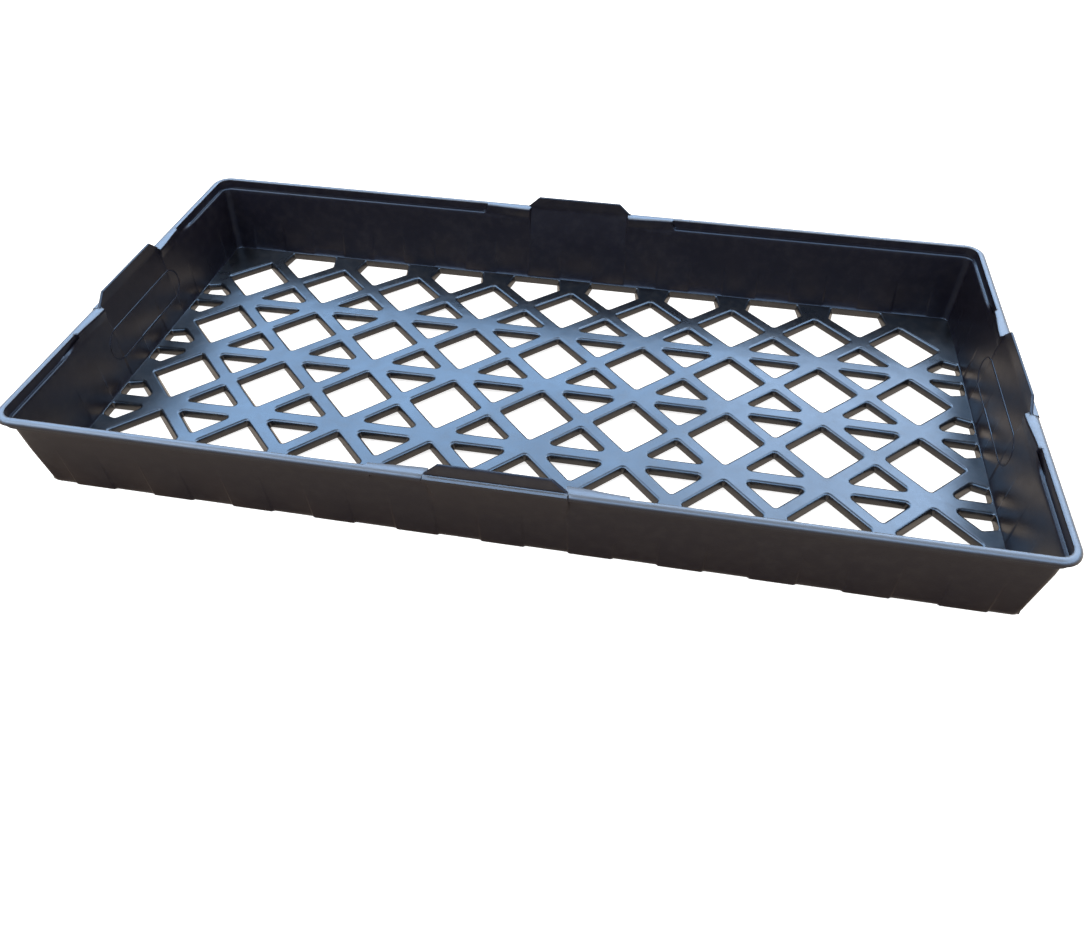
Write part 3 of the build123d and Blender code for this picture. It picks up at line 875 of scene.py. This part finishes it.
class CARRIERTRAY_OT_stage(bpy.types.Operator):
    """Pale floor, soft studio light and the camera"""
    bl_idname = "carriertray.stage"
    bl_label = "Stage"

    def execute(self, context):
        look = context.scene.carrier_tray_look
        scene = context.scene
        scene.view_settings.view_transform = "Standard"

        ground = bpy.data.meshes.new("studio_floor")
        far = STAGE_HALF
        corners = [(-far, -far, 0), (far, -far, 0), (far, far, 0), (-far, far, 0)]
        ground.from_pydata(corners, [], [(0, 1, 2, 3)])
        floor = new_object("studio_floor", ground)
        paint = bpy.data.materials.new("white_studio_floor_with_painted_reflection")
        paint.use_nodes = True
        tree = paint.node_tree
        tree.nodes.clear()
        shader = add_node(tree, "ShaderNodeBsdfPrincipled",
                          inputs={"Base Color": linear(look.ground), "Roughness": 0.9,
                                  "Specular IOR Level": 0.0, "Emission Color": linear("FFFFFF"),
                                  "Emission Strength": FLOOR_GLOW})
        painted_reflection = add_node(tree, "ShaderNodeEmission", inputs={"Strength": 1.0},
                        links={"Color": painted_floor_reflection(tree)})
        # glossy rays see the painted floor reflection, a glow with painted shade near the walls, instead of
        # the lit floor
        path = add_node(tree, "ShaderNodeLightPath")
        both = add_node(tree, "ShaderNodeMixShader",
                        links={0: path.outputs["Is Glossy Ray"], 1: shader.outputs["BSDF"],
                               2: painted_reflection.outputs["Emission"]})
        add_node(tree, "ShaderNodeOutputMaterial", links={"Surface": both.outputs["Shader"]})
        ground.materials.append(paint)

        world = bpy.data.worlds.new("soft_studio")
        world.use_nodes = True
        scene.world = world
        tree = world.node_tree
        tree.nodes.clear()
        direction = add_node(tree, "ShaderNodeTexCoord").outputs["Generated"]
        shine = add_node(tree, "ShaderNodeBackground", inputs={"Strength": SHINE_STRENGTH},
                         links={"Color": ring_light(tree, direction)})
        fill = add_node(tree, "ShaderNodeBackground", inputs={"Strength": 1.0, "Color": linear("FFFFFF")})
        path = add_node(tree, "ShaderNodeLightPath")
        both = add_node(tree, "ShaderNodeMixShader", links={0: path.outputs["Is Glossy Ray"],
                                                            1: fill.outputs["Background"],
                                                            2: shine.outputs["Background"]})
        add_node(tree, "ShaderNodeOutputWorld", links={"Surface": both.outputs["Shader"]})

        for name, place, size, power in SOFTBOXES:
            data = bpy.data.lights.new(name, "AREA")
            data.shape = "SQUARE"
            data.size = size
            data.energy = power
            lamp = bpy.data.objects.new(name, data)
            scene.collection.objects.link(lamp)
            lamp.location = place
            lamp.rotation_euler = (-Vector(place)).to_track_quat("-Z", "Y").to_euler()

        turn = Vector(CAMERA_TURN)
        turned = Matrix.Rotation(turn.length, 3, turn.normalized())
        lens = bpy.data.cameras.new("camera")
        lens.sensor_fit = "HORIZONTAL"
        lens.sensor_width = 36.0
        lens.lens = FOCAL * 36.0 / IMAGE_W
        lens.shift_x = (IMAGE_W / 2 - CENTRE_X) / IMAGE_W
        lens.shift_y = (CENTRE_Y - IMAGE_H / 2) / IMAGE_W
        lens.clip_start = 0.01
        camera = bpy.data.objects.new("camera", lens)
        scene.collection.objects.link(camera)
        place = -(turned.transposed() @ Vector(CAMERA_SHIFT)) * MM
        place.z += FLOOR_TOP * MM
        axes = Matrix((turned[0], -turned[1], -turned[2])).transposed()
        camera.matrix_world = Matrix.Translation(place) @ axes.to_4x4()
        scene.camera = camera
        return {"FINISHED"}


class CARRIERTRAY_PT_panel(bpy.types.Panel):
    """Lists the pieces of the carrier tray"""
    bl_idname = "CARRIERTRAY_PT_panel"
    bl_label = "Carrier tray"
    bl_space_type = "VIEW_3D"
    bl_region_type = "UI"
    bl_category = "Carrier tray"

    def draw(self, context):
        for operator in STEPS:
            self.layout.operator(operator.bl_idname)


STEPS = (CARRIERTRAY_OT_floor, CARRIERTRAY_OT_shell, CARRIERTRAY_OT_stage)
GROUPS = {"carrier_tray_floor": CarrierTrayFloorSettings, "carrier_tray_shell": CarrierTrayShellSettings,
          "carrier_tray_look": CarrierTrayLookSettings}


def register():
    for group in GROUPS.values():
        bpy.utils.register_class(group)
    for step in (*STEPS, CARRIERTRAY_PT_panel):
        bpy.utils.register_class(step)
    for name, group in GROUPS.items():
        setattr(bpy.types.Scene, name, bpy.props.PointerProperty(type=group))


def unregister():
    for name in GROUPS:
        delattr(bpy.types.Scene, name)
    for step in reversed((*GROUPS.values(), *STEPS, CARRIERTRAY_PT_panel)):
        bpy.utils.unregister_class(step)


def main():
    register()
    for step in STEPS:
        group, name = step.bl_idname.split(".")
        getattr(getattr(bpy.ops, group), name)()


if __name__ == "__main__":
    main()
